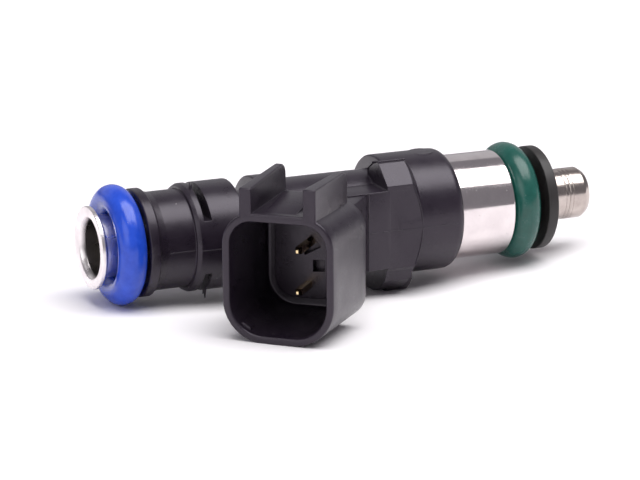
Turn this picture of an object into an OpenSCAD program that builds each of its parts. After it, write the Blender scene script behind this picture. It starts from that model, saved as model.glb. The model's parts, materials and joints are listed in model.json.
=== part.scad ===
// Port fuel injector, built as separate pieces about one axis.
// Row frame: X runs along the injector axis towards the nozzle, Y points away from the
// connector, Z is up. X = 0 is the centre plane of the upper O-ring. All sizes are in mm.

/* [Seals] */
// Outside radius of both O-rings
seal_outer_radius = 7.3; // [6:0.1:9]
// Cord diameter of both O-rings
seal_cord = 3.53; // [2.5:0.01:4.5]
// Distance between the two O-ring centre planes
seal_spacing = 52; // [40:0.5:60]

/* [Inlet] */
// Radius of the flared inlet collar
collar_radius = 5; // [4.2:0.1:6]
// Radius of the inlet bore in front of the filter
inlet_bore_radius = 3.35; // [2.8:0.05:3.5]
// Distance from the upper seal's centre to the inlet face
inlet_reach = 3.53; // [3:0.05:6]

/* [Plastic body] */
// Radius of the seal flange beside the upper O-ring
flange_radius = 6.55; // [6:0.05:7]
// Radius of the shaft below the flange
shaft_radius = 5.95; // [5:0.05:6.4]
// Radius of the clip collar and of the boss behind it
clip_collar_radius = 6.57; // [6:0.01:7]
// Distance from the axis to the flat floor of each clip slot
clip_slot_floor = 3.25; // [3.1:0.05:5]
// Radius of the plain barrel behind the connector
barrel_radius = 5.85; // [5:0.05:6.5]
// Radius of the large round section over the coil
coil_cover_radius = 7.5; // [7:0.05:8]
// Largest radius of the raised saddle on the coil cover
saddle_radius = 9.4; // [8.6:0.05:9.6]
// Half height of the web between the connector and the body
web_half_height = 4.85; // [3:0.05:6]

/* [Connector] */
// Lean of the connector towards the inlet, from square to the axis, in degrees
connector_lean = 42; // [20:1:60]
// Where the connector's axis crosses the injector's axis
connector_station = 32.36; // [25:0.1:40]
// Distance from the injector's axis to the shroud's rim
connector_reach = 32.39; // [26:0.1:38]
// Half width of the shroud
shroud_half_width = 6.75; // [5:0.05:8]
// Top of the shroud above the parting plane
shroud_top = 8.1; // [6:0.1:10]
// Bottom of the shroud below the parting plane
shroud_bottom = 7.35; // [6:0.05:9]
// Top of the two guide ears
ear_top = 11.65; // [9:0.05:14]
// Centre distance of the two contact pins
pin_pitch = 5; // [3:0.5:6]
// Width and thickness of a contact pin
pin_size = 0.8; // [0.5:0.05:1.2]

/* [Valve] */
// Radius of the polished coil housing
housing_radius = 6.5; // [6:0.05:7]
// Radius of the nozzle that reaches into the port
nozzle_radius = 3.22; // [3:0.01:4]
// Distance from the upper seal's centre to the nozzle's end
nozzle_reach = 62.4; // [58:0.1:70]
// Radius of the valve ball
ball_radius = 1.6; // [1:0.05:2]
// Travel of the needle when the coil is energised
needle_lift = 0.07; // [0.04:0.01:0.15]

/* [Hidden] */
$fn = 72;
cord_radius = seal_cord / 2;
seal_ring_radius = seal_outer_radius - cord_radius;
gland_radius = seal_ring_radius - cord_radius - 0.01;
inlet_face = -inlet_reach;
lip_thickness = 0.5;
tube_outer = 2.9;
tube_inner = 2.2;
tube_end = 26.5;
// filter
filter_seat_radius = 3;
filter_start = 1;
filter_end = 10.6;
basket_outer = 1.95;
basket_inner = 1.65;
mesh_thickness = 0.1;
// plastic body stations along X
flange_start = 2;
flange_end = 3.2;
flange_fillet_radius = 6.15;
flange_fillet_start = 3.5;
flange_fillet_end = 4.2;
small_break = 0.15;
large_break = 0.2;
collar_start = 7.95;
slot_start = 9.07;
slot_end = 10.05;
collar_end = 14.4;
boss_start = 17.4;
boss_end = 20.4;
waist_radius = 4.9;
web_start = 21;
web_front = 7.5;
cover_start = 33.7;
cover_end = 42.9;
cover_round = 1.2;
saddle_start = 32.2;
saddle_end = 36.9;
saddle_front = 7.45;
saddle_chamfer = 1.5;
foot_depth = 8.9;
foot_start = 33.6;
foot_end = 36.6;
pad_station = 40.1;
pad_radius = 1.55;
pad_height = 7.46;
pad_root = 6;
// connector stations, measured outward from the injector axis
shroud_back = 19.75;
cavity_floor = 20.65;
plateau_face = 22.05;
ear_back = 20.35;
ear_inner = 3.2;
ear_outer = 4.6;
neck_half_width = 2.9;
neck_half_height = 4.78;
neck_root = 2;
cavity_half_width = 5.83;
cavity_bottom = 6.4;
cavity_top = 7.1;
plateau_half_width = 4;
plateau_bottom = 4.75;
plateau_top = 5.5;
ear_round = 1.6;
ear_root = 6;
ramp_front = 31.3;
ramp_crest = 24.6;
ramp_back = 24.3;
ramp_height = 9.05;
ramp_left = 1.9;
ramp_width = 3.9;
ramp_root = 7.5;
pin_tip = 26.25;
pin_offset = 0.3;
pin_drop = 0.22;
pin_lane = 4.4;
lead_end = 36.9;
pin_z = [pin_pitch / 2 - pin_drop, -pin_pitch / 2 - pin_drop];
// valve group stations along X
core_start = 26.5;
core_shoulder = 28;
core_end = 42;
core_radius = 2.78;
core_bore = 1.45;
valve_tube_outer = 3;
valve_tube_inner = 2.8;
valve_tube_end = 56.15;
housing_start = 34.6;
housing_end = 50.16;
housing_bore = 6;
housing_floor = 48.7;
gland_end = 53.9;
bobbin_start = 36.2;
bobbin_end = 48.2;
bobbin_flange = 0.8;
bobbin_hub = 3.8;
bobbin_radius = 5.9;
winding_radius = 4.9;
washer_start = 34.8;
washer_end = 36.1;
sleeve_start = 30;
spring_start = 35.5;
spring_end = 44.5;
spring_turns = 8;
spring_wire = 0.2;
spring_radius = 1.15;
armature_start = core_end + needle_lift + 0.01;
armature_end = 49;
armature_radius = 2.75;
flow_hole_radius = 0.35;
flow_hole_circle = 2.05;
needle_start = 46;
needle_radius = 1;
needle_bore = 0.7;
needle_seat_gap = 1.15;
cross_hole_stations = [51, 56];
cross_hole_step = 1.2;
ball_station = 58.9;
guide_start = 58.1;
seat_start = 59.2;
seat_end = 61;
seat_hole = 0.5;
orifice_end = 61.3;
spray_circle = 0.3;
spray_hole_radius = 0.1;
guide_slot_radius = 0.5;
nozzle_round = 1.1;
nozzle_recess_radius = 1.7;
cap_start = 54.7;
cap_end = 56.07;
cap_radius = 6.47;
eps = 0.01;

// ---- helpers ----

// solid cylinder along X from x0 to x1
module rod(x0, x1, r) {
  translate([x0, 0, 0]) rotate([0, 90, 0]) cylinder(h = x1 - x0, r = r);
}

// ring along X
module ring(x0, x1, ro, ri) {
  difference() {
    rod(x0, x1, ro);
    rod(x0 - 1, x1 + 1, ri);
  }
}

// turned shape about X from [radius, x] points
module turned(points) {
  rotate([0, 90, 0]) rotate_extrude() polygon(points);
}

// places children in the connector's frame: -Y points out of the mouth, X runs across it
module at_connector() {
  translate([connector_station, 0, 0]) rotate([0, 0, -connector_lean]) children();
}

// rounded outline, X across and Y up, with its own radius for the top and bottom corners
module outline(half, low, high, r_low, r_high) {
  translate([-half, low + r_low]) square([2 * half, high - r_high - low - r_low]);
  translate([-half + r_low, low]) square([2 * (half - r_low), r_low + eps]);
  translate([-half + r_high, high - r_high - eps]) square([2 * (half - r_high), r_high + eps]);
  for (side = [-1, 1]) {
    translate([side * (half - r_low), low + r_low]) circle(r_low);
    translate([side * (half - r_high), high - r_high]) circle(r_high);
  }
}

// extrudes an outline from one distance out of the axis to another
module outward(from, to) {
  translate([0, -from, 0]) rotate([90, 0, 0]) linear_extrude(to - from) children();
}

// where a line at offset w in the connector's frame meets the line Y = y
function bend_point(w, y) =
  [connector_station + w * cos(connector_lean) + (y + w * sin(connector_lean)) * tan(connector_lean), y];

// the point at offset w and distance d in the connector's frame
function connector_point(w, d) =
  [connector_station + w * cos(connector_lean) - d * sin(connector_lean),
   -w * sin(connector_lean) - d * cos(connector_lean)];

// path of one contact pin: straight in through the neck, then along the body to the bobbin
module terminal_path(z) {
  half = pin_size / 2;
  translate([0, 0, z - half]) linear_extrude(pin_size)
    polygon([connector_point(pin_offset - half, pin_tip), bend_point(pin_offset - half, half - pin_lane),
             [lead_end, half - pin_lane], [lead_end, -half - pin_lane],
             bend_point(pin_offset + half, -half - pin_lane), connector_point(pin_offset + half, pin_tip)]);
}

// ---- sub-parts ----

// plastic body moulded around the metal parts, with the connector shroud
module overmould() {
  color([0.13, 0.13, 0.15])
  difference() {
    union() {
      body_barrel();
      translate([web_start, -web_front, -web_half_height])
        cube([saddle_start + small_break - web_start, web_front, 2 * web_half_height]);
      translate([pad_station, 0, pad_root]) cylinder(h = pad_height - pad_root, r = pad_radius);
      saddle();
      connector_shell();
    }
    clip_slots();
    connector_cavity();
    body_bore();
    terminal_path(pin_z[0]);
    terminal_path(pin_z[1]);
  }
}

// round part of the body: flange, shaft, clip collar, waist, boss, barrel and coil cover
module body_barrel() {
  rotate([0, 90, 0]) rotate_extrude() {
    polygon([[0, flange_start], [flange_radius - large_break, flange_start],
             [flange_radius, flange_start + large_break], [flange_radius, flange_end - small_break],
             [flange_radius - small_break, flange_end], [flange_fillet_radius, flange_fillet_start],
             [shaft_radius, flange_fillet_end], [shaft_radius, collar_start],
             [clip_collar_radius - large_break, collar_start], [clip_collar_radius, collar_start + large_break],
             [clip_collar_radius, collar_end - small_break], [clip_collar_radius - small_break, collar_end],
             [waist_radius, collar_end], [waist_radius, boss_start],
             [clip_collar_radius - large_break, boss_start], [clip_collar_radius, boss_start + large_break],
             [clip_collar_radius, boss_end], [barrel_radius, boss_end], [barrel_radius, cover_start],
             [coil_cover_radius, cover_start], [coil_cover_radius, cover_end - cover_round],
             [coil_cover_radius - cover_round, cover_end], [0, cover_end]]);
    translate([coil_cover_radius - cover_round, cover_end - cover_round]) circle(cover_round);
  }
}

// stepped hole through the body for the tubes and the coil housing
module body_bore() {
  turned([[0, flange_start - 1], [gland_radius, flange_start - 1], [gland_radius, 5.2], [tube_outer, 6.4],
          [tube_outer, core_start], [valve_tube_outer, core_start], [valve_tube_outer, housing_start],
          [housing_radius, housing_start], [housing_radius, cover_end + 1], [0, cover_end + 1]]);
}

// raised saddle: flat front, one sloped shoulder above, a chamfered end and a foot below
module saddle() {
  intersection() {
    translate([saddle_start, 0, 0]) rotate([90, 0, 90]) linear_extrude(saddle_end - saddle_start)
      polygon([[-1.7, 6.6], [-3.2, 7.6], [-4.2, 7.8], [-4.9, 7.7], [-7.25, 5.6], [-saddle_front, 5.2],
               [-saddle_front, -4.9], [-7.1, -5.3], [-6.5, -6.6], [-5.3, -7.6], [-4.3, -8.2],
               [-3.4, -8.5], [1, -8.5], [1, -4], [-1.7, -4]]);
    turned([[0, saddle_start - 1], [saddle_radius, saddle_start - 1],
            [saddle_radius, saddle_end - saddle_chamfer], [saddle_front, saddle_end], [0, saddle_end]]);
  }
  translate([foot_start, 0, 0]) rotate([90, 0, 90]) linear_extrude(foot_end - foot_start)
    polygon([[-5, -5], [-5.15, -7.2], [-4.3, -8.2], [-3.4, -foot_depth], [0.6, -foot_depth], [1, -5]]);
}

// tapered shroud, its neck, the two guide ears and the latch ramp between them
module connector_shell() {
  at_connector() difference() {
    union() {
      hull() {
        outward(connector_reach + 0.3, connector_reach + 0.32)
          outline(shroud_half_width, -shroud_bottom, shroud_top, 5, 3.8, $fn = 32);
        outward(shroud_back, shroud_back + 0.02)
          outline(shroud_half_width - 0.05, -shroud_bottom + 0.5, shroud_top - 0.7, 3, 3.4, $fn = 32);
      }
      outward(ear_back + 0.3, connector_reach + 0.4)
        translate([-ear_inner - 1.1, 3]) square([2 * ear_inner + 2.2, shroud_top + 0.02 - 3]);
      outward(neck_root, shroud_back + 1)
        translate([-neck_half_width, -neck_half_height]) square([2 * neck_half_width, 2 * neck_half_height]);
      for (left = [-ear_outer, ear_inner]) {
        translate([left, 0, 0]) rotate([90, 0, 90]) linear_extrude(ear_outer - ear_inner) ear_profile();
      }
      translate([-ramp_left, 0, 0]) rotate([90, 0, 90]) linear_extrude(ramp_width)
        polygon([[-ramp_front, ramp_root], [-ramp_front, shroud_top], [-ramp_crest, ramp_height],
                 [-ramp_back, ramp_height], [-ramp_back, ramp_root]]);
    }
    translate([-15, -connector_reach - 5, -15]) cube([30, 5, 30]);
  }
}

// side view of one ear: X is minus the distance out, Y is height
module ear_profile() {
  front = -connector_reach - 0.5;
  translate([front, ear_root]) square([-ear_back - ear_round - front, ear_top - ear_root]);
  translate([front, ear_root]) square([-ear_back - front, ear_top - ear_root - ear_round]);
  translate([-ear_back - ear_round, ear_top - ear_round]) circle(ear_round);
}

// hollow of the connector, leaving the raised plateau that carries the pins
module connector_cavity() {
  at_connector() difference() {
    outward(cavity_floor, connector_reach + 1)
      outline(cavity_half_width, -cavity_bottom, cavity_top, 4, 2.8);
    outward(cavity_floor - 1, plateau_face)
      outline(plateau_half_width, -plateau_bottom, plateau_top, 2.4, 1.6);
  }
}

// two straight slots across the clip collar
module clip_slots() {
  for (side = [-1, 1]) {
    low = side > 0 ? clip_slot_floor : -clip_slot_floor - 5;
    translate([slot_start, -8, low]) cube([slot_end - slot_start, 16, 5]);
  }
}

// flared steel inlet tube that carries the upper seal
module fuel_tube() {
  color([0.78, 0.77, 0.74])
  turned([[inlet_bore_radius, inlet_face + 1.1], [inlet_bore_radius + 0.15, inlet_face + 0.45],
          [inlet_bore_radius + 0.45, inlet_face + 0.12], [inlet_bore_radius + 0.8, inlet_face],
          [collar_radius - 0.08, inlet_face], [collar_radius, inlet_face + 0.08],
          [collar_radius, inlet_face + lip_thickness - 0.08], [collar_radius - 0.08, inlet_face + lip_thickness],
          [4.25, inlet_face + lip_thickness + 0.05], [gland_radius, inlet_face + 0.95], [gland_radius, 5.2],
          [tube_outer, 6.4], [tube_outer, tube_end], [tube_inner, tube_end], [tube_inner, 6.1],
          [filter_seat_radius, 5], [filter_seat_radius, filter_start], [inlet_bore_radius, filter_start]]);
}

// O-ring, one cord swept about the axis
module o_ring(x) {
  translate([x, 0, 0]) rotate([0, 90, 0]) rotate_extrude()
    translate([seal_ring_radius, 0]) circle(cord_radius);
}

module upper_o_ring() {
  color([0.1, 0.25, 0.75]) o_ring(0);
}

module lower_o_ring() {
  color([0.02, 0.3, 0.24]) o_ring(seal_spacing);
}

// moulded basket of the inlet filter: seat ring, four ribs and closed end
module filter_frame() {
  color([0.85, 0.83, 0.76]) {
    ring(filter_start + 0.2, filter_start + 1.6, filter_seat_radius, basket_inner);
    rod(filter_end - 0.6, filter_end, basket_outer);
    for (turn = [0:90:270]) {
      rotate([turn, 0, 0]) translate([filter_start + 1.4, -0.2, basket_inner])
        cube([filter_end - filter_start - 1.6, 0.4, basket_outer - basket_inner - 0.02]);
    }
  }
}

// fine screen inside the basket
module filter_mesh() {
  color([0.7, 0.68, 0.6])
  ring(filter_start + 0.4, filter_end - 0.6, basket_inner - 0.01, basket_inner - mesh_thickness);
}

// one contact pin with its bevelled tip and the lead to the coil
module terminal(z) {
  half = pin_size / 2;
  difference() {
    terminal_path(z);
    at_connector() translate([pin_offset, -pin_tip, z]) {
      for (turn = [0:90:270]) {
        rotate([0, turn, 0]) translate([half / 2, 0, 0]) rotate([0, 0, -22]) translate([0, -1, -1]) cube([2, 3, 2]);
      }
    }
  }
}

module terminal_upper() {
  color([0.8, 0.6, 0.3]) terminal(pin_z[0]);
}

module terminal_lower() {
  color([0.8, 0.6, 0.3]) terminal(pin_z[1]);
}

// fixed magnetic core, shouldered between the two tubes
module pole_core() {
  color([0.6, 0.6, 0.62])
  difference() {
    union() {
      rod(core_start, core_shoulder, valve_tube_outer);
      rod(core_shoulder - eps, core_end, core_radius);
    }
    rod(core_start - 1, core_end + 1, core_bore);
  }
}

// slit sleeve that sets the spring's preload
module adjusting_sleeve() {
  color([0.75, 0.75, 0.7])
  difference() {
    ring(sleeve_start, spring_start, core_bore - 0.01, 1);
    translate([sleeve_start - 1, -0.15, 0]) cube([spring_start - sleeve_start + 2, 0.3, 3]);
  }
}

// half turn of the spring, lying in a plane that climbs a half pitch
module half_turn(pitch) {
  climb = atan(pitch / 4 / spring_radius);
  rotate([0, climb, 0]) rotate_extrude(angle = 180)
    translate([spring_radius, 0]) circle(spring_wire, $fn = 20);
}

// closing spring between the adjusting sleeve and the armature
module return_spring() {
  run = spring_end - spring_start - 2 * spring_wire - 0.02;
  pitch = run / spring_turns;
  color([0.5, 0.5, 0.52])
  translate([spring_start + spring_wire + 0.01, 0, 0]) rotate([0, 90, 0])
    for (i = [0:spring_turns - 1]) {
      translate([0, 0, (i + 0.25) * pitch]) half_turn(pitch);
      translate([0, 0, (i + 0.75) * pitch]) rotate([0, 0, 180]) half_turn(pitch);
    }
}

// moving iron, pulled towards the core
module armature() {
  color([0.62, 0.62, 0.64])
  difference() {
    rod(armature_start, armature_end, armature_radius);
    rod(armature_start - 1, spring_end, core_bore);
    rod(spring_end - 1, armature_end + 1, needle_radius);
    for (turn = [0:120:240]) {
      rotate([turn + 30, 0, 0]) translate([armature_start - 1, 0, flow_hole_circle]) rotate([0, 90, 0])
        cylinder(h = 9, r = flow_hole_radius);
    }
  }
}

// tube that joins the armature to the ball, with cross holes for the fuel
module needle_tube() {
  color([0.7, 0.7, 0.72])
  difference() {
    rod(needle_start, ball_station - needle_seat_gap, needle_radius - 0.005);
    rod(needle_start - 1, ball_station, needle_bore);
    translate([ball_station, 0, 0]) sphere(ball_radius);
    for (x = cross_hole_stations) {
      translate([x, 0, -2]) cylinder(h = 4, r = flow_hole_radius);
      translate([x + cross_hole_step, 2, 0]) rotate([90, 0, 0]) cylinder(h = 4, r = flow_hole_radius);
    }
  }
}

module valve_ball() {
  color([0.85, 0.85, 0.87]) translate([ball_station, 0, 0]) sphere(ball_radius);
}

// thin non-magnetic tube that guides the armature
module valve_tube() {
  color([0.72, 0.72, 0.74]) ring(core_shoulder, valve_tube_end, valve_tube_outer, valve_tube_inner);
}

// iron washer that closes the magnetic path above the coil, notched for the leads
module flux_washer() {
  color([0.55, 0.55, 0.57])
  difference() {
    ring(washer_start, washer_end, housing_bore - 0.02, valve_tube_outer + 0.05);
    for (z = pin_z) {
      translate([washer_start - 1, -7, z - 0.6]) cube([washer_end - washer_start + 2, 3.2, 1.2]);
    }
  }
}

// spool of the coil
module coil_bobbin() {
  color([0.75, 0.68, 0.5])
  difference() {
    union() {
      rod(bobbin_start, bobbin_end, bobbin_hub);
      rod(bobbin_start, bobbin_start + bobbin_flange, bobbin_radius);
      rod(bobbin_end - bobbin_flange, bobbin_end, bobbin_radius);
    }
    rod(bobbin_start - 1, bobbin_end + 1, valve_tube_outer + 0.05);
    terminal_path(pin_z[0]);
    terminal_path(pin_z[1]);
  }
}

// copper winding
module coil_winding() {
  color([0.7, 0.38, 0.2])
  ring(bobbin_start + bobbin_flange + 0.05, bobbin_end - bobbin_flange - 0.05, winding_radius, bobbin_hub + 0.03);
}

// polished steel pot around the coil, with the gland of the lower seal
module coil_housing() {
  color([0.8, 0.8, 0.8])
  turned([[housing_bore, housing_start], [housing_radius, housing_start], [housing_radius, housing_end - 0.35],
          [housing_radius - 0.35, housing_end], [gland_radius, housing_end], [gland_radius, gland_end],
          [valve_tube_outer + 0.05, gland_end], [valve_tube_outer + 0.05, housing_floor],
          [housing_bore, housing_floor]]);
}

// plastic ring that keeps the lower seal on
module retainer_cap() {
  color([0.1, 0.1, 0.11])
  turned([[valve_tube_outer + 0.01, gland_end + 0.05], [gland_radius, gland_end + 0.05],
          [gland_radius, cap_start], [cap_radius - 0.15, cap_start], [cap_radius, cap_start + 0.15],
          [cap_radius, cap_end - 0.15], [cap_radius - 0.15, cap_end], [valve_tube_outer + 0.01, cap_end]]);
}

// ring that keeps the ball central and lets fuel past it
module ball_guide() {
  color([0.68, 0.68, 0.66])
  difference() {
    ring(guide_start, seat_start - 0.02, valve_tube_inner - 0.02, ball_radius + 0.02);
    for (turn = [0:72:288]) {
      rotate([turn, 0, 0]) translate([guide_start - 1, 0, ball_radius + 0.1]) rotate([0, 90, 0])
        cylinder(h = 4, r = guide_slot_radius);
    }
  }
}

// seat with a 45 degree cone that the ball closes
module valve_seat() {
  touch_radius = ball_radius * cos(45);
  touch_x = ball_station + touch_radius + 0.003;
  color([0.74, 0.74, 0.75])
  turned([[touch_radius + touch_x - seat_start, seat_start], [valve_tube_inner - 0.02, seat_start],
          [valve_tube_inner - 0.02, seat_end], [seat_hole, seat_end],
          [seat_hole, touch_x + touch_radius - seat_hole]]);
}

// thin plate whose holes shape the spray
module orifice_disc() {
  color([0.8, 0.8, 0.82])
  difference() {
    rod(seat_end + 0.01, orifice_end, valve_tube_inner - 0.03);
    for (turn = [0:60:300]) {
      rotate([turn, 0, 0]) translate([seat_end - 1, 0, spray_circle]) rotate([0, 90, 0])
        cylinder(h = 3, r = spray_hole_radius, $fn = 16);
    }
  }
}

// outer nozzle that holds the seat and guards the spray plate
module nozzle_body() {
  color([0.8, 0.79, 0.76])
  rotate([0, 90, 0]) rotate_extrude() difference() {
    union() {
      translate([0, valve_tube_end + 0.02])
        square([nozzle_radius, nozzle_reach - nozzle_round - valve_tube_end - 0.02]);
      translate([0, nozzle_reach - nozzle_round - eps]) square([nozzle_radius - nozzle_round, nozzle_round + eps]);
      translate([nozzle_radius - nozzle_round, nozzle_reach - nozzle_round]) circle(nozzle_round);
    }
    translate([-5, valve_tube_end - 1]) square([5, 10]);
    translate([-1, valve_tube_end - 1]) square([1 + valve_tube_inner, orifice_end + 0.02 - valve_tube_end + 1]);
    translate([-1, orifice_end - 1]) square([1 + nozzle_recess_radius, 5]);
  }
}

overmould();
fuel_tube();
upper_o_ring();
filter_frame();
filter_mesh();
terminal_upper();
terminal_lower();
pole_core();
adjusting_sleeve();
return_spring();
armature();
needle_tube();
valve_ball();
valve_tube();
flux_washer();
coil_bobbin();
coil_winding();
coil_housing();
lower_o_ring();
retainer_cap();
ball_guide();
valve_seat();
orifice_disc();
nozzle_body();
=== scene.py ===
"""Looks of the port fuel injector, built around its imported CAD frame.

Shapes are given in millimetres in the CAD frame: X along the injector towards the nozzle,
Y away from the connector, Z up, X = 0 at the upper O-ring. finish_piece() turns them into metres.
The pieces that can be seen from outside are made here. The rest keep their CAD meshes.
"""

import json
import math

import bmesh
import bpy
from mathutils import Matrix, Vector


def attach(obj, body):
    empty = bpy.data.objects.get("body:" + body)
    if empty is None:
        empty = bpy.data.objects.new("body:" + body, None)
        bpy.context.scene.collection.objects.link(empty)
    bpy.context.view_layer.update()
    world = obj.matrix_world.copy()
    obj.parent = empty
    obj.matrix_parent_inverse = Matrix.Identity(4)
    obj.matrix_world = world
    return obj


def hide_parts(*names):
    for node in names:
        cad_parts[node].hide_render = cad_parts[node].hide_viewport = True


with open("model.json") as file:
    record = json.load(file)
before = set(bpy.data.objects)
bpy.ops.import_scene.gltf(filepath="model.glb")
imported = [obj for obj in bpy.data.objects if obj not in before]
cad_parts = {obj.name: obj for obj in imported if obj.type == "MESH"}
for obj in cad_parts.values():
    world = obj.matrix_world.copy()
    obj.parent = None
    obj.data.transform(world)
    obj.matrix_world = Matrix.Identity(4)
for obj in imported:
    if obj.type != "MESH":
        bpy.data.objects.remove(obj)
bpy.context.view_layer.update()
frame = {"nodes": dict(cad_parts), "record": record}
MM = 0.001
BODY = "injector"
scene = bpy.context.scene

# main sizes, in millimetres
CORD = 1.765            # radius of an O-ring's cord
RING = 5.535            # radius of the cord's centre line
GLAND = 3.76            # radius that both O-rings sit on
LOWER_SEAL = 52.0       # from the upper O-ring to the lower one
TUBE_OUTER = 2.9        # inlet tube, inside the body
TUBE_END = 26.5
VALVE_TUBE = 3.0        # outer radius of the valve tube
VALVE_TUBE_INNER = 2.8
SLIDE_GAP = 0.05        # between the valve tube and what it passes through
HOUSING = 6.5           # outer radius of the steel coil housing
HOUSING_BORE = 6.0
HOUSING_START = 34.6
HOUSING_FLOOR = 48.7
HOUSING_END = 50.16
GLAND_END = 53.9        # end of the lower O-ring's groove
CAP = 6.47              # radius of the retainer cap
CAP_START = 54.7
CAP_END = 56.07
NOZZLE = 3.22
NOZZLE_START = 56.17
NOZZLE_END = 62.4
NOZZLE_RECESS = 1.7
SPRAY_FACE = 61.32      # floor of the recess at the nozzle's end
FLANGE = 6.55           # radii of the moulded body, from the inlet down
SHAFT = 5.95
CLIP_COLLAR = 6.57
WAIST = 4.9
BARREL = 5.85
COVER = 7.5
COVER_START = 33.7
COVER_END = 42.9
SLOT_START = 9.07       # clip slots
SLOT_END = 10.05
SLOT_FLOOR = 3.25
WEB_HALF = 4.85         # half height of the web
SADDLE_START = 32.2
SADDLE_FRONT = 7.45
LEAN = 42.0             # lean of the connector towards the inlet, degrees
STATION = 32.36         # where the connector's axis crosses the injector's axis
REACH = 32.39           # from that axis to the shroud's rim
SHROUD_BACK = 19.75     # from that axis to the shroud's back
MOUTH_FLOOR = 20.6      # where the shroud's inner wall ends
GROOVE_FLOOR = 20.3     # floor of the groove round the plateau
PLATEAU_FACE = 22.05
PIN_PITCH = 5.0
PIN_DROP = 0.22         # how far the pair of pins sits below the axis
PARTING = -0.15         # height of the mould's parting line
TURNS = 224             # sides of a turned piece


# ---------------------------------------------------------------- shapes

def rounded(corners, steps=5, closed=True):
    """Polygon from (x, y) or (x, y, radius) corners, with an arc at each corner that has a radius."""
    points = []
    count = len(corners)
    for i, corner in enumerate(corners):
        here = Vector(corner[:2])
        radius = corner[2] if len(corner) > 2 else 0
        inner = closed or 0 < i < count - 1
        if radius <= 0 or not inner:
            points.append(tuple(here))
            continue
        before = Vector(corners[i - 1][:2]) - here
        after = Vector(corners[(i + 1) % count][:2]) - here
        half = before.angle(after) / 2
        back = min(radius / math.tan(half), 0.49 * before.length, 0.49 * after.length)
        radius = back * math.tan(half)
        before.normalize()
        after.normalize()
        centre = here + (before + after).normalized() * (radius / math.sin(half))
        first = here + before * back - centre
        last = here + after * back - centre
        sweep = first.angle_signed(last)
        for k in range(steps + 1):
            turn = -sweep * k / steps
            c, s = math.cos(turn), math.sin(turn)
            points.append((centre.x + first.x * c - first.y * s, centre.y + first.x * s + first.y * c))
    return points


def make(name, verts, faces):
    """New object from points and faces, with its faces turned outwards."""
    mesh = bpy.data.meshes.new(name)
    mesh.from_pydata(verts, [], faces)
    bm = bmesh.new()
    bm.from_mesh(mesh)
    bmesh.ops.recalc_face_normals(bm, faces=bm.faces)
    bm.to_mesh(mesh)
    bm.free()
    piece = bpy.data.objects.new(name, mesh)
    scene.collection.objects.link(piece)
    return piece


def bridge(a, b):
    """Faces between two rings of indices; a ring of one is a point on the axis."""
    n = max(len(a), len(b))
    faces = []
    for j in range(n):
        k = (j + 1) % n
        if len(a) == 1:
            faces.append((a[0], b[j], b[k]))
        elif len(b) == 1:
            faces.append((a[j], b[0], a[k]))
        else:
            faces.append((a[j], b[j], b[k], a[k]))
    return faces


def lathe(name, profile, closed=True, turns=TURNS):
    """Turned piece from (x, radius) points. Closed joins the last point to the first."""
    verts, rings, faces = [], [], []
    for x, r in profile:
        start = len(verts)
        if r < 1e-6:
            verts.append((x, 0, 0))
        else:
            for k in range(turns):
                a = 2 * math.pi * k / turns
                verts.append((x, r * math.cos(a), r * math.sin(a)))
        rings.append(list(range(start, len(verts))))
    pairs = list(zip(rings, rings[1:])) + ([(rings[-1], rings[0])] if closed else [])
    for a, b in pairs:
        if len(a) + len(b) > 2:
            faces += bridge(a, b)
    return make(name, verts, faces)


def loft(name, rings):
    """Closed skin through rings of points with equal counts; the end rings are capped."""
    verts, index, faces = [], [], []
    for ring in rings:
        index.append(list(range(len(verts), len(verts) + len(ring))))
        verts += ring
    for a, b in zip(index, index[1:]):
        faces += bridge(a, b)
    faces += [tuple(index[0]), tuple(reversed(index[-1]))]
    return make(name, verts, faces)


def prism(name, outline, start, end, axis, bevel=0.0, segments=2):
    """Extrudes a 2D outline along an axis: x takes (y, z), y takes (x, z) and z takes (x, y)."""
    def place(p, t):
        if axis == "x":
            return (t, p[0], p[1])
        if axis == "y":
            return (p[0], t, p[1])
        return (p[0], p[1], t)
    piece = loft(name, [[place(p, start) for p in outline], [place(p, end) for p in outline]])
    if bevel:
        bevelled(piece, bevel, segments)
    return piece


def block(name, low, high, bevel=0.0, segments=2):
    """Box between two corners."""
    outline = [(low[1], low[2]), (high[1], low[2]), (high[1], high[2]), (low[1], high[2])]
    return prism(name, outline, low[0], high[0], "x", bevel, segments)


def bake(piece):
    """Applies the piece's modifiers."""
    depsgraph = bpy.context.evaluated_depsgraph_get()
    mesh = bpy.data.meshes.new_from_object(piece.evaluated_get(depsgraph))
    piece.modifiers.clear()
    piece.data = mesh
    return piece


def bevelled(piece, width, segments=2, angle=28):
    """Rounds the edges sharper than an angle."""
    mod = piece.modifiers.new("Edges", "BEVEL")
    mod.width = width
    mod.segments = segments
    mod.limit_method = "ANGLE"
    mod.angle_limit = math.radians(angle)
    mod.use_clamp_overlap = True
    return bake(piece)


def combine(piece, others, operation):
    """Joins others to a piece, or cuts them from it, and removes them."""
    for other in others:
        mod = piece.modifiers.new("Join", "BOOLEAN")
        mod.operation = operation
        mod.solver = "EXACT"
        mod.object = other
        bake(piece)
        bpy.data.objects.remove(other)
    return piece


def at_connector(piece):
    """Moves a piece made in the connector's frame: X across, -Y out of the mouth, Z up."""
    piece.data.transform(Matrix.Translation((STATION, 0, 0)) @ Matrix.Rotation(-math.radians(LEAN), 4, "Z"))
    return piece


def shade(piece, angle):
    """Smooth shading, with edges kept sharp above an angle."""
    mesh = piece.data
    mesh.polygons.foreach_set("use_smooth", [True] * len(mesh.polygons))
    mesh.set_sharp_from_angle(angle=math.radians(angle))
    return piece


def finish_piece(piece, slot, node, angle=34):
    """Puts the slot's material on a piece, and lets it stand in for its CAD node."""
    shade(piece, angle)
    piece.data.transform(Matrix.Scale(MM, 4))
    piece.data.materials.clear()
    piece.data.materials.append(MATERIALS[slot])
    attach(piece, BODY)
    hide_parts(node)


# ---------------------------------------------------------------- materials

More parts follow.
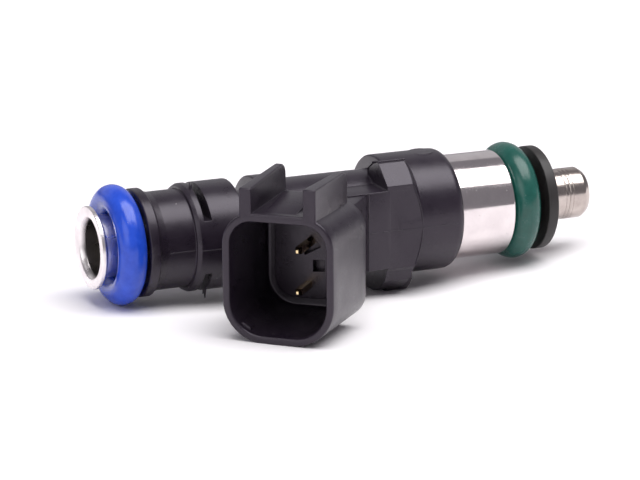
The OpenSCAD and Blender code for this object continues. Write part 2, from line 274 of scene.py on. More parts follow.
class Nodes:
    """Short names for building one material's node tree. Lengths in patterns are in millimetres."""

    def __init__(self, name):
        self.material = bpy.data.materials.new(name)
        self.material.use_nodes = True
        self.tree = self.material.node_tree
        self.shader = self.tree.nodes["Principled BSDF"]
        place = self.add("ShaderNodeTexCoord").outputs["Object"]
        self.mm = self.vector("SCALE", place, scale=1 / MM)

    def add(self, kind, **settings):
        node = self.tree.nodes.new(kind)
        for key, value in settings.items():
            setattr(node, key, value)
        return node

    def link(self, value, socket):
        if isinstance(value, bpy.types.NodeSocket):
            self.tree.links.new(value, socket)
        else:
            socket.default_value = value

    def vector(self, operation, a, b=None, scale=None):
        node = self.add("ShaderNodeVectorMath", operation=operation)
        self.link(a, node.inputs[0])
        if b is not None:
            self.link(b, node.inputs[1])
        if scale is not None:
            node.inputs["Scale"].default_value = scale
        return node.outputs[0]

    def math(self, operation, a, b=0.0, clamp=False):
        node = self.add("ShaderNodeMath", operation=operation, use_clamp=clamp)
        self.link(a, node.inputs[0])
        self.link(b, node.inputs[1])
        return node.outputs[0]

    def remap(self, value, low, high, to_low, to_high):
        node = self.add("ShaderNodeMapRange")
        self.link(value, node.inputs["Value"])
        for name, number in (("From Min", low), ("From Max", high), ("To Min", to_low), ("To Max", to_high)):
            node.inputs[name].default_value = number
        return node.outputs["Result"]

    def noise(self, scale, detail=3.0, roughness=0.55, stretch=None, seed=0.0):
        place = self.mm
        if stretch:
            place = self.vector("MULTIPLY", place, stretch)
        if seed:
            place = self.vector("ADD", place, (seed, seed * 1.7, -seed))
        node = self.add("ShaderNodeTexNoise")
        self.link(place, node.inputs["Vector"])
        node.inputs["Scale"].default_value = scale
        node.inputs["Detail"].default_value = detail
        node.inputs["Roughness"].default_value = roughness
        return node.outputs["Fac"]

    def cells(self, scale, seed=0.0):
        """Distance to the nearest scattered point and that point's own random number."""
        node = self.add("ShaderNodeTexVoronoi")
        self.link(self.vector("ADD", self.mm, (seed, -seed, seed * 0.6)), node.inputs["Vector"])
        node.inputs["Scale"].default_value = scale
        split = self.add("ShaderNodeSeparateColor")
        self.link(node.outputs["Color"], split.inputs[0])
        return node.outputs["Distance"], split.outputs[0]

    def specks(self, scale, size, share, seed=0.0):
        """Mask of rare small specks."""
        distance, number = self.cells(scale, seed)
        near = self.remap(distance, size, size * 0.6, 0.0, 1.0)
        rare = self.math("LESS_THAN", number, share)
        return self.math("MULTIPLY", near, rare)

    def mix(self, amount, a, b):
        node = self.add("ShaderNodeMix", data_type="RGBA")
        self.link(amount, node.inputs[0])
        self.link((*a, 1.0) if isinstance(a, tuple) else a, node.inputs[6])
        self.link((*b, 1.0) if isinstance(b, tuple) else b, node.inputs[7])
        return node.outputs[2]

    def bump(self, height, distance, strength=1.0, normal=None):
        node = self.add("ShaderNodeBump")
        node.inputs["Strength"].default_value = strength
        node.inputs["Distance"].default_value = distance * MM
        self.link(height, node.inputs["Height"])
        if normal is not None:
            self.link(normal, node.inputs["Normal"])
        return node.outputs[0]

    def soft_edges(self, radius):
        node = self.add("ShaderNodeBevel", samples=6)
        node.inputs["Radius"].default_value = radius * MM
        return node.outputs[0]

    def set(self, name, value):
        if isinstance(value, tuple):
            value = (*value, 1.0)
        self.link(value, self.shader.inputs[name])


def black_plastic():
    """Glass-filled nylon: satin, slightly uneven gloss, fine grain, faint scuffs and dust."""
    n = Nodes("BlackNylon")
    cloud = n.noise(0.35, 3.0, seed=3.1)
    grain = n.noise(14.0, 2.0, 0.6)
    fine = n.noise(42.0, 1.0)
    scuff = n.noise(1.6, 4.0, 0.7, stretch=(0.35, 1.0, 2.4), seed=8.0)
    scuffed = n.remap(scuff, 0.60, 0.74, 0.0, 1.0)
    dust = n.specks(0.7, 0.045, 0.10, 5.0)
    lint = n.specks(2.6, 0.07, 0.05, 2.0)
    base = n.mix(n.remap(cloud, 0.35, 0.65, 0.0, 1.0), (0.0120, 0.0082, 0.0142), (0.0158, 0.0112, 0.0182))
    base = n.mix(n.math("MULTIPLY", scuffed, 0.35), base, (0.045, 0.042, 0.048))
    base = n.mix(n.math("MULTIPLY", lint, 0.35), base, (0.16, 0.15, 0.155))
    base = n.mix(dust, base, (0.75, 0.73, 0.72))
    n.set("Base Color", base)
    rough = n.math("ADD", n.remap(cloud, 0.3, 0.7, 0.27, 0.34), n.remap(grain, 0.3, 0.7, -0.03, 0.03))
    rough = n.math("ADD", rough, n.math("MULTIPLY", scuffed, 0.1))
    n.set("Roughness", n.math("MAXIMUM", rough, n.math("MULTIPLY", dust, 0.9)))
    n.set("Specular IOR Level", 0.5)
    n.set("Specular Tint", (0.97, 0.90, 1.0))
    height = n.math("ADD", n.math("MULTIPLY", grain, 0.6), n.math("MULTIPLY", fine, 0.4))
    surface = n.bump(height, 0.018, 0.5, n.soft_edges(0.12))
    n.set("Normal", n.bump(n.math("ADD", cloud, n.math("MULTIPLY", dust, 0.6)), 0.05, 0.5, surface))
    return n.material


def rubber(name, dark, light, pale, rough):
    """Moulded O-ring rubber: soft sheen, faint mottling, tiny pits and a little dust."""
    n = Nodes(name)
    cloud = n.noise(0.7, 3.0, seed=1.3)
    grain = n.noise(11.0, 2.0)
    pits = n.specks(3.2, 0.16, 0.10, 4.0)
    dust = n.specks(1.1, 0.07, 0.06, 7.0)
    base = n.mix(n.remap(cloud, 0.3, 0.7, 0.0, 1.0), dark, light)
    base = n.mix(n.math("MULTIPLY", pits, 0.35), base, tuple(0.4 * c for c in dark))
    n.set("Base Color", n.mix(n.math("MULTIPLY", dust, 0.6), base, pale))
    n.set("Roughness", n.math("ADD", n.remap(cloud, 0.3, 0.7, rough - 0.03, rough + 0.04),
                              n.remap(grain, 0.3, 0.7, -0.03, 0.03)))
    n.set("Specular IOR Level", 0.5)
    raised = n.math("ADD", grain, n.math("MULTIPLY", cloud, 2.0))
    height = n.math("SUBTRACT", raised, n.math("MULTIPLY", pits, 1.5))
    n.set("Normal", n.bump(height, 0.012, 0.6))
    return n.material


def turned_steel(name, tint, shade_tint, rough, lines=0.004, wear=0.3, dust_share=0.08, bore_shade_radius=0.0):
    """Turned or drawn steel: lathe lines round the axis, smudges, hair scratches and dust.

    The last argument is the radius in millimetres inside which the bore is painted darker as painted shade,
    or 0 for none.
    """
    n = Nodes(name)
    split = n.add("ShaderNodeSeparateXYZ")
    n.link(n.mm, split.inputs[0])
    along = n.add("ShaderNodeTexNoise", noise_dimensions="1D")
    n.link(split.outputs[0], along.inputs["W"])
    along.inputs["Scale"].default_value = 9.0
    along.inputs["Detail"].default_value = 5.0
    along.inputs["Roughness"].default_value = 0.7
    rings = along.outputs["Fac"]
    smudge = n.noise(0.45, 4.0, 0.6, seed=2.2)
    hair = n.noise(2.2, 5.0, 0.75, stretch=(6.0, 0.5, 0.5), seed=6.0)
    scratched = n.remap(hair, 0.64, 0.72, 0.0, 1.0)
    dust = n.specks(1.5, 0.10, dust_share, 9.0)
    base = n.mix(n.remap(smudge, 0.35, 0.68, 0.0, 1.0), tint, shade_tint)
    base = n.mix(n.math("MULTIPLY", dust, 0.55), base, (0.30, 0.28, 0.28))
    # Painted shade: inside the bore the base colour is darkened to stand in for the shade deep in the hole.
    if bore_shade_radius:
        across = n.vector("MULTIPLY", n.mm, (0.0, 1.0, 1.0))
        length = n.add("ShaderNodeVectorMath", operation="LENGTH")
        n.link(across, length.inputs[0])
        inside = n.remap(length.outputs["Value"], bore_shade_radius - 0.1, bore_shade_radius + 0.1, 1.0, 0.0)
        base = n.mix(inside, base, tuple(0.35 * c for c in shade_tint))
    n.set("Base Color", base)
    n.set("Metallic", 1.0)
    smudged = n.remap(smudge, 0.35, 0.7, rough, rough + 0.08)
    worn = n.math("ADD", smudged, n.math("MULTIPLY", scratched, wear * 0.3))
    n.set("Roughness", n.math("ADD", worn, n.math("MULTIPLY", dust, 0.35)))
    height = n.math("ADD", rings, n.math("MULTIPLY", scratched, wear))
    n.set("Normal", n.bump(height, lines, 0.7, n.soft_edges(0.06)))
    return n.material


def plated(name, bright, dull, rough):
    """Plated or ground metal with fine mottling."""
    n = Nodes(name)
    cloud = n.noise(1.4, 4.0, 0.6)
    grain = n.noise(16.0, 2.0)
    n.set("Base Color", n.mix(n.remap(cloud, 0.35, 0.65, 0.0, 1.0), bright, dull))
    n.set("Metallic", 1.0)
    n.set("Roughness", n.math("ADD", n.remap(cloud, 0.3, 0.7, rough, rough + 0.1),
                              n.remap(grain, 0.3, 0.7, -0.03, 0.03)))
    n.set("Normal", n.bump(grain, 0.006, 0.5, n.soft_edges(0.05)))
    return n.material


def moulded(name, dark, light, rough):
    """Plain moulded plastic with a fine grain and faint flow marks."""
    n = Nodes(name)
    flow = n.noise(0.6, 3.0, 0.6, stretch=(0.4, 1.0, 1.0), seed=1.0)
    grain = n.noise(15.0, 2.0, 0.6)
    dust = n.specks(1.4, 0.08, 0.10, 3.0)
    base = n.mix(n.remap(flow, 0.35, 0.65, 0.0, 1.0), dark, light)
    n.set("Base Color", n.mix(n.math("MULTIPLY", dust, 0.4), base, (0.5, 0.48, 0.46)))
    n.set("Roughness", n.math("ADD", n.remap(flow, 0.3, 0.7, rough - 0.04, rough + 0.05),
                              n.remap(grain, 0.3, 0.7, -0.03, 0.03)))
    n.set("Specular IOR Level", 0.5)
    n.set("Normal", n.bump(grain, 0.02, 0.5, n.soft_edges(0.08)))
    return n.material


def woven_screen():
    """Fine filter cloth as a two-way weave round the basket."""
    n = Nodes("FilterCloth")
    split = n.add("ShaderNodeSeparateXYZ")
    n.link(n.mm, split.inputs[0])
    angle = n.math("ARCTAN2", split.outputs[1], split.outputs[2])
    warp = n.math("SINE", n.math("MULTIPLY", split.outputs[0], 52.0))
    weft = n.math("SINE", n.math("MULTIPLY", angle, 96.0))
    weave = n.math("MULTIPLY", warp, weft)
    tone = n.noise(1.1, 3.0)
    thread = n.remap(weave, -0.4, 0.6, 0.0, 1.0)
    base = n.mix(thread, (0.10, 0.09, 0.07), (0.55, 0.52, 0.44))
    n.set("Base Color", n.mix(n.remap(tone, 0.4, 0.7, 0.0, 0.4), base, (0.40, 0.35, 0.26)))
    n.set("Roughness", n.remap(weave, -1.0, 1.0, 0.75, 0.5))
    n.set("Normal", n.bump(weave, 0.03, 0.8))
    return n.material


def wound_copper():
    """Enamelled wire laid in turns along the coil."""
    n = Nodes("EnamelledWire")
    split = n.add("ShaderNodeSeparateXYZ")
    n.link(n.mm, split.inputs[0])
    turns = n.math("ABSOLUTE", n.math("SINE", n.math("MULTIPLY", split.outputs[0], math.pi / 0.16)))
    tone = n.noise(0.8, 3.0)
    # Painted shade: the base colour goes dark where neighbouring turns meet, standing in for the shade in the
    # grooves between them.
    base = n.mix(n.remap(turns, 0.0, 0.5, 0.0, 1.0), (0.10, 0.025, 0.01), (0.78, 0.33, 0.14))
    n.set("Base Color", n.mix(n.remap(tone, 0.4, 0.7, 0.0, 0.5), base, (0.50, 0.17, 0.06)))
    n.set("Metallic", 0.85)
    n.set("Roughness", n.remap(tone, 0.3, 0.7, 0.24, 0.36))
    n.set("Normal", n.bump(turns, 0.06, 0.9))
    return n.material


MATERIALS = {
    "black_plastic": black_plastic(),
    # The inlet steel's bore is painted darker inside 3.5 mm, as painted shade.
    "inlet_steel": turned_steel("InletSteel", (0.92, 0.87, 0.87), (0.76, 0.71, 0.72), 0.26,
                                wear=0.4, bore_shade_radius=3.5),
    "blue_rubber": rubber("BlueRubber", (0.012, 0.055, 0.47), (0.020, 0.080, 0.58), (0.55, 0.6, 0.8), 0.17),
    "green_rubber": rubber("GreenRubber", (0.008, 0.070, 0.054), (0.012, 0.090, 0.072),
                           (0.4, 0.5, 0.46), 0.23),
    "filter_nylon": moulded("FilterNylon", (0.62, 0.58, 0.48), (0.72, 0.68, 0.58), 0.5),
    "filter_screen": woven_screen(),
    "pin_gold": plated("GoldPlate", (0.96, 0.80, 0.52), (0.84, 0.62, 0.32), 0.16),
    "soft_iron": plated("SoftIron", (0.48, 0.47, 0.46), (0.40, 0.39, 0.38), 0.36),
    "adjuster_steel": plated("RolledSteel", (0.62, 0.61, 0.58), (0.52, 0.51, 0.48), 0.28),
    "spring_steel": plated("SpringWire", (0.50, 0.49, 0.49), (0.38, 0.37, 0.37), 0.24),
    "needle_steel": plated("NeedleSteel", (0.66, 0.65, 0.64), (0.56, 0.55, 0.54), 0.2),
    "ball_steel": plated("BallSteel", (0.82, 0.82, 0.83), (0.76, 0.76, 0.77), 0.07),
    "tube_steel": turned_steel("TubeSteel", (0.66, 0.65, 0.63), (0.56, 0.55, 0.54), 0.24),
    "bobbin_nylon": moulded("BobbinNylon", (0.45, 0.33, 0.17), (0.56, 0.43, 0.24), 0.45),
    "copper_wire": wound_copper(),
    "housing_steel": turned_steel("HousingSteel", (0.78, 0.72, 0.72), (0.70, 0.64, 0.645), 0.09,
                                  lines=0.002, wear=0.25, dust_share=0.16),
    "cap_plastic": moulded("CapPlastic", (0.0125, 0.0098, 0.0100), (0.0185, 0.0155, 0.0155), 0.46),
    "seat_steel": plated("SeatSteel", (0.68, 0.67, 0.66), (0.58, 0.57, 0.56), 0.2),
    "nozzle_steel": turned_steel("NozzleSteel", (0.55, 0.49, 0.455), (0.40, 0.345, 0.32), 0.16,
                                 lines=0.006, wear=0.5),
}

record_slots = {part["node"]: part["material_slot"] for part in frame["record"]["subparts"]}
for node_name, node in frame["nodes"].items():
    node.data.materials.clear()
    node.data.materials.append(MATERIALS[record_slots[node_name]])


# ---------------------------------------------------------------- metal and rubber pieces

def inlet_tube():
    """Flared inlet tube, with the seat for the filter inside it."""
    face, lip, collar, bore, passage = -3.53, 0.5, 5.0, 3.35, 2.2
    seat, seat_start, seat_end = 3.0, 1.0, 5.0
    profile = rounded([
        (seat_start, bore), (face + 0.75, bore, 0.5), (face + 0.10, 3.72, 0.35), (face, 4.15, 0.5),
        (face, collar, 0.12), (face + lip, collar, 0.10), (face + lip + 0.04, 4.35, 0.25),
        (face + 1.0, GLAND, 0.35), (5.2, GLAND, 0.2), (6.4, TUBE_OUTER, 0.3), (TUBE_END, TUBE_OUTER),
        (TUBE_END, passage), (6.1, passage, 0.2), (seat_end, seat, 0.2), (seat_start, seat)], 6)
    finish_piece(lathe("inlet_tube", profile), "inlet_steel", "fuel_tube")


def seal_ring(name, centre, slot, node):
    """O-ring with the thin parting ridge that its mould leaves round the outside and the inside."""
    profile = []
    sides = 72
    for k in range(sides):
        a = 2 * math.pi * k / sides
        ridge = 0.018 * math.exp(-(math.sin(a) / 0.05) ** 2)
        reach = CORD - 0.02 + ridge     # the ridge's top stays inside the cord's full radius
        profile.append((centre + reach * math.sin(a), RING + reach * math.cos(a)))
    finish_piece(lathe(name, profile, turns=256), slot, node, angle=80)


def coil_pot():
    """Polished steel housing of the coil, with the neck that the lower O-ring sits on."""
    hole = VALVE_TUBE + SLIDE_GAP
    profile = rounded([
        (HOUSING_START, HOUSING_BORE), (HOUSING_START, HOUSING), (HOUSING_END, HOUSING, 0.32),
        (HOUSING_END, GLAND, 0.15), (GLAND_END, GLAND), (GLAND_END, hole), (HOUSING_FLOOR, hole),
        (HOUSING_FLOOR, HOUSING_BORE)], 6)
    finish_piece(lathe("coil_pot", profile, turns=288), "housing_steel", "coil_housing")


def seal_cap():
    """Plastic ring that keeps the lower O-ring on its neck."""
    start, hole, dish = GLAND_END + 0.05, VALVE_TUBE + 0.01, CAP_END - 0.12
    profile = rounded([
        (start, hole), (start, GLAND), (CAP_START, GLAND, 0.12), (CAP_START, CAP, 0.18), (CAP_END, CAP, 0.2),
        (CAP_END, 3.9, 0.1), (dish, 3.6, 0.1), (dish, hole)], 5)
    finish_piece(lathe("seal_cap", profile), "cap_plastic", "retainer_cap")


def nozzle():
    """Nozzle with the grooves of its welds, a rounded end and the recess round the spray plate."""
    end, tail = NOZZLE_END, NOZZLE - 0.02
    grooves = [
        (58.75, tail, 0.2), (58.86, 3.12, 0.05), (58.97, tail, 0.1), (59.2, NOZZLE, 0.1), (59.35, 3.1, 0.06),
        (59.5, NOZZLE, 0.1), (59.75, 3.21, 0.1), (59.86, 3.13, 0.05), (59.98, 3.21, 0.1)]
    profile = rounded([
        (NOZZLE_START, VALVE_TUBE_INNER), (NOZZLE_START, tail), *grooves, (end - 0.9, NOZZLE, 0.4),
        (end - 0.15, 2.75, 0.55), (end, 2.2, 0.4), (end, 1.8, 0.12), (end - 0.25, NOZZLE_RECESS, 0.1),
        (SPRAY_FACE, NOZZLE_RECESS), (SPRAY_FACE, VALVE_TUBE_INNER)], 5)
    finish_piece(lathe("nozzle_sleeve", profile), "nozzle_steel", "nozzle_body")


def contact_pin(name, z, node):
    """Square pin with a bevelled tip in the plug, bent once inside the body."""
    half, offset, tip, lane, lead = 0.4, 0.3, 26.25, 4.4, 36.9
    lean = math.radians(LEAN)

    def bend(w, y):
        return (STATION + w * math.cos(lean) + (y + w * math.sin(lean)) * math.tan(lean), y)

    def out(w, d):
        return (STATION + w * math.cos(lean) - d * math.sin(lean), -w * math.sin(lean) - d * math.cos(lean))

    def section(first, second, low, high):
        return [(*first, low), (*second, low), (*second, high), (*first, high)]

    def plug_section(y, width, height):
        return section(out(offset - width, y), out(offset + width, y), z - height, z + height)

    nose = half * 0.42
    rings = [plug_section(tip, nose, nose * 1.3),
             plug_section(tip - 0.5, half * 0.93, half * 0.95),
             plug_section(tip - 0.75, half, half),
             section(bend(offset - half, half - lane), bend(offset + half, -half - lane), z - half, z + half),
             section((lead, half - lane), (lead, -half - lane), z - half, z + half)]
    finish_piece(bevelled(loft(name, rings), 0.07, 2, 20), "pin_gold", node)


inlet_tube()
seal_ring("seal_ring_upper", 0.0, "blue_rubber", "upper_o_ring")
seal_ring("seal_ring_lower", LOWER_SEAL, "green_rubber", "lower_o_ring")
coil_pot()
seal_cap()
nozzle()
contact_pin("pin_upper", PIN_PITCH / 2 - PIN_DROP, "terminal_upper")
contact_pin("pin_lower", -PIN_PITCH / 2 - PIN_DROP, "terminal_lower")


# ---------------------------------------------------------------- moulded body

def outline(half, low, high, r_low, r_high):
    """Rounded section of the connector, across and up, with equal point counts for any size."""
    corners = [(-half, low, r_low), (half, low, r_low), (half, high, r_high), (-half, high, r_high)]
    return rounded(corners, 10)


def body_barrel():
    """Round part of the body: flange, shaft, clip collar, waist, boss, barrel and coil cover."""
    profile = rounded([
        (2.0, 0.0), (2.0, FLANGE, 0.22), (3.2, FLANGE, 0.15), (3.42, 6.18, 0.12), (4.3, SHAFT, 0.5),
        (7.95, SHAFT, 0.12), (7.97, 6.30, 0.1), (8.45, CLIP_COLLAR, 0.25), (14.4, CLIP_COLLAR, 0.2),
        (14.4, WAIST, 0.2), (17.4, WAIST, 0.2), (17.4, CLIP_COLLAR, 0.2), (20.4, CLIP_COLLAR, 0.2),
        (20.4, BARREL, 0.15), (COVER_START, BARREL, 0.15), (COVER_START, COVER, 0.25),
        (COVER_END, COVER, 1.15), (COVER_END, 0.0)], 6, closed=False)
    return lathe("moulded_body", profile, closed=False)


def body_bore():
    """Room for the metal parts inside the body. It runs past both ends for a clean cut."""
    start, end = 1.0, 44.0
    profile = [(start, 0.0), (start, GLAND), (5.2, GLAND), (6.4, TUBE_OUTER), (TUBE_END, TUBE_OUTER),
               (TUBE_END, VALVE_TUBE), (HOUSING_START, VALVE_TUBE), (HOUSING_START, HOUSING),
               (end, HOUSING), (end, 0.0)]
    return lathe("bore", profile, closed=False, turns=96)


def saddle_block():
    """Raised saddle over the coil cover: a sloped shoulder, a flat front, a chamfered end and a foot."""
    side = rounded([
        (-1.7, 0.0), (-1.7, 6.55), (-3.1, 7.5, 0.3), (-4.3, 7.8), (-4.8, 7.72, 0.15), (-7.42, 5.42, 0.10),
        (-SADDLE_FRONT, -4.9, 0.2), (-7.1, -5.3, 0.2), (-6.5, -6.7, 0.6), (-5.3, -7.62, 0.4),
        (-4.3, -8.2, 0.3), (-3.2, -8.6), (1.0, -8.6), (1.0, 0.0)], 4)
    main = prism("saddle", side, SADDLE_START, 37.2, "x")
    limit = lathe("limit", [(31.0, 0.0), (31.0, 9.6), (35.25, 9.6), (36.9, 7.46), (36.9, 0.0)], closed=False)
    combine(main, [limit], "INTERSECT")
    sole = [(-4.9, -5.0), (-5.15, -7.0), (-4.3, -8.1), (-3.4, -8.88), (0.6, -8.88), (1.0, -5.0)]
    foot = prism("foot", sole, 33.6, 36.6, "x", 0.12, 2)
    return [main, foot]


def web_block():
    """Flat web between the neck and the saddle. Its front slopes back a little on the nozzle's side."""
    side = [(21.0, 0.0), (21.0, -7.75), (26.8, -7.75), (32.6, -7.47), (32.6, 0.0)]
    return prism("web", side, -WEB_HALF, WEB_HALF, "z", 0.10, 2)


def neck_block():
    """Neck that carries the shroud. It is a little lower than the web, so the two never share a face."""
    return at_connector(block("neck", (-2.9, -20.6, -4.78), (2.9, -2.0, 4.78), 0.12, 2))


def ejector_mark():
    """Round pad that an ejector pin left on top of the coil cover."""
    radius, sides = 1.55, 48
    steps = [2 * math.pi * k / sides for k in range(sides)]
    disc = [(40.1 + radius * math.cos(a), radius * math.sin(a)) for a in steps]
    return prism("mark", disc, 6.0, 7.46, "z", 0.03, 1)


def shroud_ring(d, inset=0.0):
    """Outer section of the shroud at a distance from the injector's axis."""
    t = (d - SHROUD_BACK) / (REACH - SHROUD_BACK)
    low, high = -6.85 - 0.5 * t, 7.4 + 0.7 * t
    half, r_low, r_high = 6.7 + 0.05 * t, 3.0 + 2.0 * t, 3.4 + 0.4 * t
    ring = outline(half - inset, low + inset, high - inset, r_low - inset, r_high - inset)
    return [(w, -d, z) for w, z in ring]


def hollow_ring(d, grow=0.0):
    """Inner wall of the shroud, with slight draft."""
    wider = grow - 0.5 * (REACH - d) / (REACH - 20.65)
    ring = outline(5.86 + wider, -6.43 - wider, 7.13 + wider, 4.0 + wider, 2.8 + wider)
    return [(w, -d, z) for w, z in ring]


def plateau_ring(d, grow=0.0):
    """Section of the raised plateau that the pins come through."""
    ring = outline(3.85 + grow, -4.45 - grow, 5.5 + grow, 2.3 + grow, 1.6 + grow)
    return [(w, -d, z) for w, z in ring]


def shroud():
    """One skin: back face, outer wall, rounded rim, inner wall, floor and the plateau."""
    rings = []
    arc = [math.radians(a) for a in (0, 22.5, 45, 67.5, 90)]
    back, rim, lip, corner, edge, top_edge = 0.45, 0.28, 0.24, 0.3, 0.15, 0.13
    wall_start = SHROUD_BACK + back
    wall = REACH - rim - wall_start
    inner = REACH - lip - MOUTH_FLOOR
    for a in arc[::-1]:
        rings.append(shroud_ring(SHROUD_BACK + back * (1 - math.sin(a)), back * (1 - math.cos(a))))
    for k in range(1, 8):
        rings.append(shroud_ring(wall_start + wall * k / 8))
    for a in arc:
        rings.append(shroud_ring(REACH - rim * (1 - math.sin(a)), rim * (1 - math.cos(a))))
    for a in arc[::-1]:
        rings.append(hollow_ring(REACH - lip * (1 - math.sin(a)), lip * (1 - math.cos(a))))
    for k in range(1, 6):
        rings.append(hollow_ring(REACH - lip - inner * k / 6))
    for a in arc:
        rings.append(hollow_ring(MOUTH_FLOOR - corner * math.sin(a), -corner * (1 - math.cos(a))))
    for a in arc[::-1]:
        rings.append(plateau_ring(GROOVE_FLOOR + edge * (1 - math.sin(a)), edge * (1 - math.cos(a))))
    for a in arc:
        rings.append(plateau_ring(PLATEAU_FACE - top_edge * (1 - math.sin(a)), -top_edge * (1 - math.cos(a))))
    return at_connector(loft("shroud", rings))


def ear(name, front_w, back_w, tops, back):
    """Guide ear: an upright plate that thins towards the back, where its top corner is round."""
    front = REACH - 0.015
    side = rounded([(-front, 7.4), (-back, 7.05), (-back, tops[1], 1.5), (-front, tops[0], 0.25)], 8)
    rings = []
    for k in (0, 1):
        ring = []
        for y, z in side:
            t = (front + y) / (front - back)
            ring.append((front_w[k] + (back_w[k] - front_w[k]) * t, y, z))
        rings.append(ring)
    return at_connector(bevelled(loft(name, rings), 0.16, 3))


def latch_ramp():
    """Ramp between the ears that the plug's latch climbs."""
    side = [(-31.3, 7.3), (-31.3, 8.1), (-24.6, 9.05), (-24.25, 9.05), (-24.25, 7.3)]
    return at_connector(prism("ramp", side, -1.9, 2.0, "x", 0.12, 2))


def shelf():
    """Level top between the ears."""
    return at_connector(block("shelf", (-4.3, -REACH + 0.28, 7.5), (4.3, -20.7, 8.11), 0.06, 1))


def plateau_pockets():
    """Two square pockets in the face of the plateau."""
    cuts = []
    for name, corners in (("pocket_upper", [(0.70, 3.25), (1.80, 1.90), (-0.15, 0.80), (-0.60, 2.00)]),
                          ("pocket_lower", [(0.85, 0.25), (2.30, 0.30), (2.27, -1.05), (0.86, -1.15)])):
        cuts.append(at_connector(prism(name, corners, -22.6, -20.9, "y")))
    return cuts


def corner_rib():
    """Small rib inside the lower corner of the mouth."""
    side = rounded([(-4.95, -5.3, 0.2), (-4.5, -5.15, 0.3), (-3.55, -5.75, 0.3), (-3.6, -6.2, 0.2)], 6)
    return at_connector(prism("rib", side, -31.6, -30.2, "y", 0.12, 3))


def wire(name, points, radius):
    """Thin ridge along a line, as a tool's joint leaves on a moulding."""
    rings = []
    sides = 6
    for i, point in enumerate(points):
        here = Vector(point)
        along = Vector(points[min(i + 1, len(points) - 1)]) - Vector(points[max(i - 1, 0)])
        first = along.orthogonal().normalized()
        if i:
            first = (last - along.normalized() * last.dot(along.normalized())).normalized()
        second = along.normalized().cross(first)
        last = first
        rings.append([tuple(here + (first * math.cos(a) + second * math.sin(a)) * radius)
                      for a in (2 * math.pi * k / sides for k in range(sides))])
    return loft(name, rings)


def flash_lines():
    """Ridges where the halves of the mould and its slides met."""
    edge = [5.3 - 0.5 * k for k in range(21)]
    saddle_end = [(36.9 - 0.75 * (math.hypot(SADDLE_FRONT, z) - 7.46), -7.44, z) for z in edge]
    lines = [
        wire("flash_top", [(31.9, -3.7, 7.72), (32.3, -4.3, 7.84), (35.9, -4.3, 7.84)], 0.11),
        wire("flash_end", [(31.9, -3.7, 7.72), (32.18, -3.1, 7.45), (32.18, -1.7, 6.55), (32.18, -1.75, 5.6),
                           (32.18, -2.6, 5.26), (32.18, -3.3, 4.89), (32.18, -SADDLE_FRONT, 4.88)], 0.10),
        wire("flash_web", [(SADDLE_START, -7.47, 4.85), (29.6, -7.60, 4.86), (26.8, -7.74, 4.86)], 0.09),
        wire("flash_seam", [(29.6, -7.61, -4.8), (29.6, -7.61, 4.8)], 0.12),
        wire("flash_saddle", saddle_end, 0.09)]
    partings = {
        "part_shaft": ((4.6, -5.94), (7.95, -5.94), 0.06),
        "part_collar": ((8.5, -6.56), (14.3, -6.56), 0.06),
        "part_web": ((29.9, -7.60), (30.9, -7.55), 0.065),
        "part_saddle": ((31.6, -7.52), (36.85, -7.45), 0.06),
        "part_cover": ((37.0, -7.49), (41.6, -7.49), 0.065)}
    for name, (start, end, radius) in partings.items():
        lines.append(wire(name, [(*start, PARTING), (*end, PARTING)], radius))
    return lines


def burrs():
    """Torn slivers left at the ends of the clip slots."""
    top = [(-2.3, 5.9), (-1.2, 6.2), (-1.15, 7.05), (-1.45, 6.62), (-1.75, 6.9), (-1.9, 6.45)]
    low = [(-3.3, -5.5), (-2.2, -6.0), (-2.15, -6.75), (-2.6, -6.5), (-2.85, -7.1), (-3.1, -6.2)]
    return [prism("burr_top", top, 8.92, 9.06, "x", 0.02, 1),
            prism("burr_low", low, 10.06, 10.2, "x", 0.02, 1)]


def slot_cuts():
    """Two straight slots across the clip collar, cut to past its radius."""
    cuts = []
    past = 9.0
    for side in (-1, 1):
        low, high = sorted((side * SLOT_FLOOR, side * past))
        cuts.append(block(f"slot{side}", (SLOT_START, -8.0, low), (SLOT_END, 8.0, high)))
    return cuts


body = body_barrel()
combine(body, [web_block(), *saddle_block(), ejector_mark(), neck_block(), shroud(),
               ear("ear_left", (-4.6, -3.15), (-3.8, -3.0), (11.05, 11.55), 20.35),
               ear("ear_right", (3.1, 4.65), (3.75, 4.7), (11.4, 11.1), 20.8),
               shelf(), latch_ramp(), corner_rib(), *flash_lines(), *burrs()], "UNION")
combine(body, [*slot_cuts(), *plateau_pockets(), body_bore()], "DIFFERENCE")
finish_piece(body, "black_plastic", "overmould")


# ---------------------------------------------------------------- camera, floor and light

CURVE_START = 0.0355        # where the sheet starts to curve, in metres
AIM = (0.028, -0.005, 0.0)  # point that the side lamps face


def make_camera():
    """Long lens from above the connector's side, aimed near the middle of the injector."""
    azimuth, elevation, roll = math.radians(23.44), math.radians(15.0), math.radians(-0.32)
    aim, distance = Vector((26.49, 0.0, -2.37)), 428.65
    level = math.cos(elevation)
    back = Vector((-math.sin(azimuth) * level, -math.cos(azimuth) * level, math.sin(elevation)))
    right = Vector((math.cos(azimuth), -math.sin(azimuth), 0.0))
    up = back.cross(right)
    turned_right = right * math.cos(roll) + up * math.sin(roll)
    turned_up = up * math.cos(roll) - right * math.sin(roll)
    camera = bpy.data.objects.new("Camera", bpy.data.cameras.new("Camera"))
    scene.collection.objects.link(camera)
    place = aim * MM + back * (distance * MM)
    turn = Matrix((turned_right, turned_up, back)).transposed()
    camera.matrix_world = Matrix.Translation(place) @ turn.to_4x4()
    camera.data.sensor_width = 36.0
    camera.data.lens = 196.875
    camera.data.clip_start, camera.data.clip_end = 0.01, 20.0
    scene.camera = camera


def floor_height(x, y):
    """Height in metres of the sheet that the injector lies on.

    It touches the blue ring, the shroud's lip and the foot, and curves up gently past the foot.
    """
    past = max(0.0, x - CURVE_START)
    return -0.0463 * x - 0.0206 * y - 0.0073 + 0.125 * past * past / (past + 0.0015)


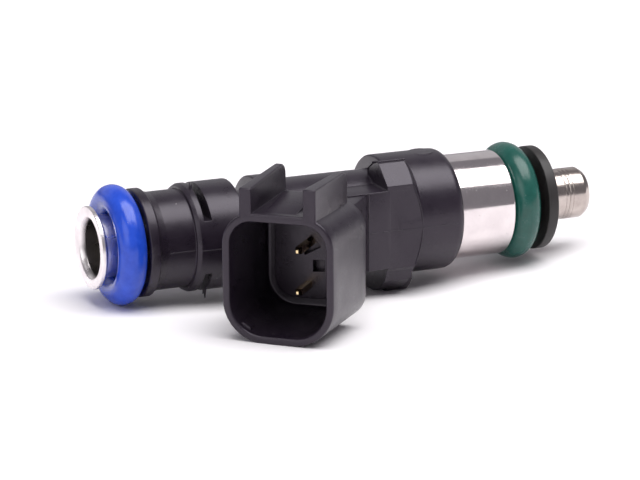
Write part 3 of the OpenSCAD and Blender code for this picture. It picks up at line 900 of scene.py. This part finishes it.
def make_floor():
    """Paper sheet, with closer rows of points where it curves. Sizes are in metres."""
    curve = [CURVE_START + 0.0015 * k for k in range(14)]
    steps = [-2.0, -0.4, 0.0, 0.034, *curve, 0.07, 0.1, 0.2, 0.5, 2.0]
    rows = [-2.0, -0.2, 0.2, 2.0]
    verts = [(x, y, floor_height(x, y)) for y in rows for x in steps]
    n_x = len(steps)
    faces = [(j * n_x + i, j * n_x + i + 1, (j + 1) * n_x + i + 1, (j + 1) * n_x + i)
             for j in range(len(rows) - 1) for i in range(n_x - 1)]
    mesh = bpy.data.meshes.new("Floor")
    mesh.from_pydata(verts, [], faces)
    mesh.polygons.foreach_set("use_smooth", [True] * len(mesh.polygons))
    floor = bpy.data.objects.new("Floor", mesh)
    scene.collection.objects.link(floor)
    n = Nodes("FloorPaper")
    tone = n.noise(0.02, 2.0)
    n.set("Base Color", n.mix(tone, (0.95, 0.92, 0.94), (0.97, 0.945, 0.96)))
    n.set("Roughness", n.remap(n.noise(1.5, 2.0), 0.3, 0.7, 0.6, 0.7))
    n.set("Specular IOR Level", 0.2)
    mesh.materials.append(n.material)


def soft_box(name, place, aim, width, height, power):
    """Rectangular lamp that faces a point. Sizes are in metres, power in watts."""
    light = bpy.data.lights.new(name, "AREA")
    light.shape = "RECTANGLE"
    light.size, light.size_y = width, height
    light.energy = power
    lamp = bpy.data.objects.new(name, light)
    lamp.location = place
    lamp.rotation_mode = "QUATERNION"
    lamp.rotation_quaternion = (Vector(place) - Vector(aim)).to_track_quat("Z", "Y")
    scene.collection.objects.link(lamp)


def make_world():
    """Dim, slightly violet surround that fills the shadows."""
    world = bpy.data.worlds.new("Studio")
    world.use_nodes = True
    scene.world = world
    tree = world.node_tree
    background = tree.nodes["Background"]
    background.inputs["Color"].default_value = (0.95, 0.92, 1.0, 1.0)
    background.inputs["Strength"].default_value = 0.25


make_camera()
make_floor()
make_world()
soft_box("Overhead", (0.26, -0.22, 0.86), (0.26, -0.22, 0.0), 1.22, 0.74, 12.8)
soft_box("LeftFill", (-1.0, -0.55, 0.55), AIM, 0.9, 0.8, 3.4)
soft_box("BackSweep", (0.25, 1.2, 0.60), AIM, 2.4, 0.95, 2.2)

scene.view_settings.view_transform = "Standard"
scene.view_settings.look = "None"
scene.view_settings.exposure = 0.0
